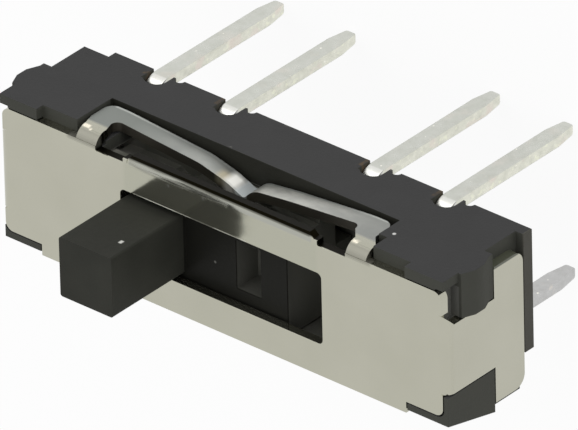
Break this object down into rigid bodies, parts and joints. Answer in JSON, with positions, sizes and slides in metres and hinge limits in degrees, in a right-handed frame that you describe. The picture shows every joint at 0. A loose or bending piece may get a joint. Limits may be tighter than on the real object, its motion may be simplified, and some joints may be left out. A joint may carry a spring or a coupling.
{
  "type": "slide switch",
  "caption": "Miniature slide switch with a folded metal cover, a square knob in a slot, a detent leaf spring and straight through-board terminals.",
  "frame": {"origin": "middle of the seating face, between the two terminal rows", "axes": "+X along the slot, +Y across the terminal rows towards the spring side, +Z out through the knob"},
  "size_m": [0.0126, 0.0038, 0.0088],
  "materials": {
    "black_plastic": "moulded, satin",
    "plated_cover": "plated sheet steel, almost mirror smooth",
    "slider_plastic": "moulded, slightly glossy",
    "contact_metal": "rolled spring strip",
    "tinned_terminal": "tin plated, satin"
  },
  "bodies": {
    "base": {"housing": "black_plastic", "cover_frame": "plated_cover", "terminal_a1": "tinned_terminal", "terminal_a2": "tinned_terminal", "terminal_a3": "tinned_terminal", "terminal_a4": "tinned_terminal", "terminal_b1": "tinned_terminal", "terminal_b2": "tinned_terminal", "terminal_b3": "tinned_terminal", "terminal_b4": "tinned_terminal"},
    "slider": {"slider": "slider_plastic", "contact_a": "contact_metal", "contact_b": "contact_metal"}
  },
  "joints": [
    {"name": "slider_travel", "type": "slide", "parent": "base", "child": "slider", "axis": [1, 0, 0], "range_m": [-0.00006, 0.00394]}
  ]
}
